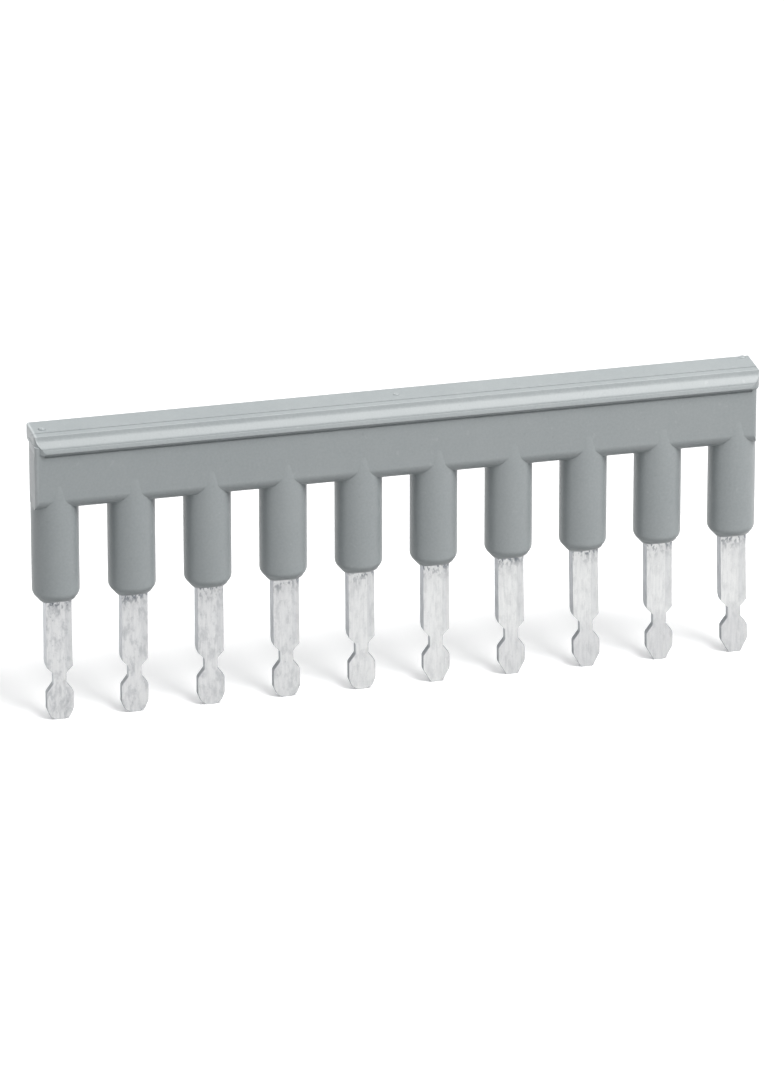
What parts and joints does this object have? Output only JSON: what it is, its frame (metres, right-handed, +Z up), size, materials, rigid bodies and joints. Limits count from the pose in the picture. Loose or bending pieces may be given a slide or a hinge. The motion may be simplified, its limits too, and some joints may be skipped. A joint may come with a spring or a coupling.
{
  "type": "terminal block jumper bar",
  "caption": "Insulated comb jumper bar: flat tin-plated blades with notched heads stand out of round sleeves under a straight grip flange, to bridge rail terminal blocks.",
  "frame": {"origin": "under the middle of the bar, in the plane of the blade tips", "axes": "+X along the bar, -Y the bar's front with the round flange edge, +Z up from the blade tips to the flange"},
  "size_m": [0.048, 0.0032, 0.0201],
  "materials": {
    "tinned_copper": "pale matte tin plating on stamped copper, slightly mottled",
    "grey_polyamide": "mid-grey moulded polyamide, fine matte grain"
  },
  "bodies": {
    "root": {"contact_comb": "tinned_copper", "insulating_body": "grey_polyamide"}
  },
  "joints": []
}
